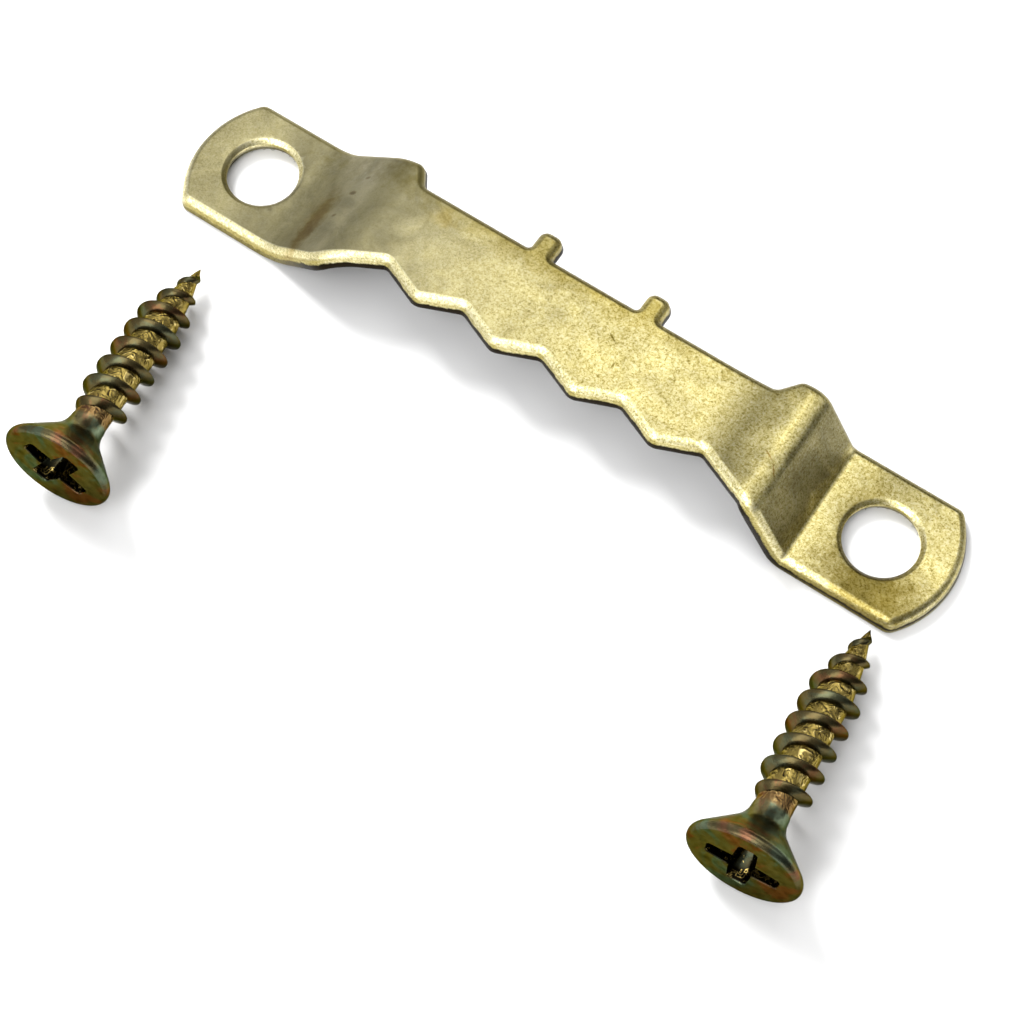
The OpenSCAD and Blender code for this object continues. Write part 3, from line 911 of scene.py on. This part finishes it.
def yellow_zinc_steel(s):
    """Yellow passivated zinc on a thread-rolled steel screw"""
    # Chromated zinc: dark olive film with green and pink patches, brown painted shade on the flanks, gold in
    # the roots, and painted shade and glints in the recess and the root creases
    material, node = new_material("yellow_zinc_passivation")
    place = node("Attribute", attribute_name="screw_place")["Vector"]
    z = node("SeparateXYZ", {"Vector": place})["Z"]
    root = node("Attribute", attribute_name="thread_root")["Fac"]
    shade = node("Attribute", attribute_name="recess_shade")["Fac"]
    # The screw's own places are in millimetres, so the scales are too
    patches = node("TexNoise", {
        "Vector": place, "Scale": MM / s.patch_size, "Detail": 6.0, "Roughness": 0.62, "Distortion": 1.0,
    })["Fac"]
    smear = node("TexNoise", {
        "Vector": place, "Scale": MM / s.smear_size, "Detail": 4.0, "Roughness": 0.65,
    })["Fac"]
    crinkle = node("TexNoise", {
        "Vector": place, "Scale": MM / s.crinkle_size, "Detail": 1.0, "Roughness": 0.5, "Distortion": 1.8,
    })["Fac"]
    skin = zinc_film(node, s, z, patches, smear)
    colour = node("Mix", {
        "Factor": root, MIX_A: skin, MIX_B: root_colour(node, s, z, crinkle),
    }, data_type="RGBA")[MIX_OUT]
    # Painted shade inside the cross recess, broken by painted glints
    dark, painted_glint = rgba(s.recess_painted_shade), rgba(s.recess_painted_glint)
    recess_painted_light = node("ValToRGB", {"Fac": crinkle}, stops=(
        (0.5, dark), (0.57, dark), (0.6, painted_glint), (0.64, dark),
    ))["Color"]
    colour = node("Mix", {"Factor": shade, MIX_A: colour, MIX_B: recess_painted_light}, data_type="RGBA")[MIX_OUT]
    height = node("Math", {0: crinkle, 1: root}, operation="MULTIPLY")["Value"]
    relief = node("Bump", {"Height": height, "Strength": 1.0, "Distance": CREASE_HEIGHT})["Normal"]
    relief = node("Bump", {
        "Height": smear, "Strength": 0.4, "Distance": SMEAR_HEIGHT, "Normal": relief,
    })["Normal"]
    surface = node("BsdfPrincipled", {
        "Base Color": colour, "Metallic": 1.0, "Roughness": 0.26, "Specular Tint": (0.36, 0.37, 0.3, 1),
        "Normal": relief,
    })["BSDF"]
    node("OutputMaterial", {"Surface": surface})
    return material


class HANGER_OT_build_screws(bpy.types.Operator):
    """Build the two loose screws with their zinc finish"""
    bl_idname = "hanger.build_screws"
    bl_label = "Build loose screws"

    def execute(self, context):
        s = context.scene.hanger_screws
        plate = context.scene.hanger_plate
        hole_x = hole_place(plate)[0]
        edge_y = plate.width / MM / 2
        finish = yellow_zinc_steel(s)
        for node, side, offset, gap, heading, turn in SCREWS:
            place = lying_place(s, side * hole_x + offset, -edge_y - gap, heading)
            piece = build_screw(s, node + "_threaded", place, math.radians(turn))
            piece.data.materials.append(finish)
            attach(piece, "loose_" + node)
            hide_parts(node)
        return {"FINISHED"}


# Floor radius in millimetres, and where the paper turns plain white, in metres from the middle
FLOOR_R, FLOOR_STEPS = 3000, 96
WHITE_START, WHITE_FULL = 0.08, 0.16
# Brightness of the room from the left at 0 to the right at 1: pale left side, dim ceiling and right side
ROOM = (
    (0.0, 0.6), (0.12, 0.8), (0.28, 1.2), (0.4, 0.2), (0.58, 0.2), (0.66, 0.5), (0.8, 0.4), (0.88, 0.12),
)
# Pale panel behind the object, also from left to right, and its span from front at 0 to back at 1
PANEL = ((0.0, 0.6), (0.12, 0.8), (0.28, 1.2), (0.4, 1.1), (0.84, 1.1), (0.9, 0.1))
PANEL_SPAN = ((0.58, 0.0), (0.63, 1.0), (0.77, 1.0), (0.82, 0.0))
# Name, place and size in metres, power in watts, and the setting that scales it
LAMPS = (
    ("overhead_softbox", (-0.05, 0.12, 0.5), (0.34, 0.5), 0.93, "overhead"),
    ("front_softbox", (-0.05, -0.38, 0.33), (0.3, 0.6), 2.4, "front"),
    ("left_lamp", (-0.46, 0.19, 0.48), (0.2, 0.2), 5.4, "key"),
    ("low_left_lamp", (-0.62, 0.26, 0.37), (0.16, 0.16), 3.3, "key"),
)
CAMERA_PLACE = (0.025119, -0.039717, 0.087412)
CAMERA_TURN = (23.709, 0.491, 34.242)
CAMERA_LENS, CAMERA_SENSOR = 68.883, 36.0


def build_floor(s):
    """Wide plain floor that the object lies on"""
    bm = bmesh.new()
    bmesh.ops.create_circle(bm, cap_ends=True, segments=FLOOR_STEPS, radius=FLOOR_R)
    floor = to_object(bm, "plain_floor")
    material, node = new_material("matt_white_paper")
    # Matt paper near the object, and plain white farther off, where the lamps don't reach
    paper = node("BsdfPrincipled", {
        "Base Color": rgba(s.floor), "Roughness": 0.9, "Specular IOR Level": 0.0,
    })["BSDF"]
    white = node("Emission", {"Color": (1, 1, 1, 1), "Strength": 1.0})["Emission"]
    away = node("VectorMath", {0: node("TexCoord")["Object"]}, operation="LENGTH")["Value"]
    far = node("MapRange", {"Value": away, "From Min": WHITE_START, "From Max": WHITE_FULL})["Result"]
    ray = node("LightPath")
    seen = node("Math", {0: ray["Is Camera Ray"], 1: ray["Is Glossy Ray"]}, operation="MAXIMUM")["Value"]
    far = node("Math", {0: far, 1: seen}, operation="MULTIPLY")["Value"]
    node("OutputMaterial", {"Surface": node("MixShader", {0: far, 1: paper, 2: white})["Shader"]})
    floor.data.materials.append(material)


def build_lamps(s):
    """Rectangular softboxes that face the object"""
    for name, place, (wide, deep), power, setting in LAMPS:
        lamp = bpy.data.lights.new(name, "AREA")
        lamp.shape, lamp.size, lamp.size_y = "RECTANGLE", wide, deep
        lamp.energy = power * getattr(s, setting)
        holder = bpy.data.objects.new(name, lamp)
        holder.location = place
        holder.rotation_euler = (-Vector(place)).to_track_quat("-Z", "Y").to_euler()
        # The two left lamps draw the shadows on the floor and are kept out of the metal's reflections
        holder.visible_glossy = setting != "key"
        bpy.context.scene.collection.objects.link(holder)


def build_world():
    """Room that the metal reflects, with a pale panel behind the object, and plain white for the camera"""
    world = bpy.data.worlds.new("studio_room")
    bpy.context.scene.world = world
    world.use_nodes = True
    world.node_tree.nodes.clear()
    node = functools.partial(add_node, world.node_tree)
    way = node("SeparateXYZ", {"Vector": node("TexCoord")["Generated"]})
    across, behind = (
        node("MapRange", {"Value": way[axis], "From Min": -1.0, "From Max": 1.0})["Result"] for axis in "XY"
    )
    room = node("ValToRGB", {"Fac": across}, stops=ROOM)["Color"]
    panel = node("ValToRGB", {"Fac": across}, stops=PANEL)["Color"]
    span = node("ValToRGB", {"Fac": behind}, stops=PANEL_SPAN)["Color"]
    level = node("Mix", {"Factor": span, MIX_A: room, MIX_B: panel}, data_type="RGBA")[MIX_OUT]
    level = node("Mix", {
        "Factor": node("LightPath")["Is Camera Ray"], MIX_A: level, MIX_B: (1, 1, 1, 1),
    }, data_type="RGBA")[MIX_OUT]
    back = node("Background", {"Color": level, "Strength": 1.0})["Background"]
    node("OutputWorld", {"Surface": back})


def build_camera():
    """Camera fitted to the photograph: place and turn in the row frame"""
    camera = bpy.data.cameras.new("photo_camera")
    camera.sensor_width, camera.lens = CAMERA_SENSOR, CAMERA_LENS
    camera.clip_start, camera.clip_end = 0.005, 20.0
    holder = bpy.data.objects.new("photo_camera", camera)
    holder.location = CAMERA_PLACE
    holder.rotation_euler = [math.radians(a) for a in CAMERA_TURN]
    bpy.context.scene.collection.objects.link(holder)
    bpy.context.scene.camera = holder


class HANGER_OT_build_stage(bpy.types.Operator):
    """Build the floor, the lights and the camera"""
    bl_idname = "hanger.build_stage"
    bl_label = "Build stage"

    def execute(self, context):
        s = context.scene.hanger_stage
        build_floor(s)
        build_world()
        build_lamps(s)
        build_camera()
        context.scene.view_settings.view_transform = "Standard"
        return {"FINISHED"}


BUILD_STEPS = (
    ("hanger_plate", HangerPlateSettings, HANGER_OT_build_plate),
    ("hanger_screws", ScrewSettings, HANGER_OT_build_screws),
    ("hanger_stage", StageSettings, HANGER_OT_build_stage),
)


class HANGER_PT_panel(bpy.types.Panel):
    """Lists the sizes, colours and build steps"""
    bl_label = "Sawtooth hanger"
    bl_idname = "HANGER_PT_panel"
    bl_space_type = "VIEW_3D"
    bl_region_type = "UI"
    bl_category = "Hanger"

    def draw(self, context):
        for name, group, operator in BUILD_STEPS:
            box = self.layout.box()
            for key in group.__annotations__:
                box.prop(getattr(context.scene, name), key)
            box.operator(operator.bl_idname)


def register():
    for name, group, operator in BUILD_STEPS:
        bpy.utils.register_class(group)
        bpy.utils.register_class(operator)
        setattr(bpy.types.Scene, name, bpy.props.PointerProperty(type=group))
    bpy.utils.register_class(HANGER_PT_panel)


def unregister():
    bpy.utils.unregister_class(HANGER_PT_panel)
    for name, group, operator in reversed(BUILD_STEPS):
        delattr(bpy.types.Scene, name)
        bpy.utils.unregister_class(operator)
        bpy.utils.unregister_class(group)


def main():
    register()
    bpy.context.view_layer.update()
    bpy.ops.hanger.build_plate()
    bpy.ops.hanger.build_screws()
    bpy.ops.hanger.build_stage()


if __name__ == "__main__":
    main()
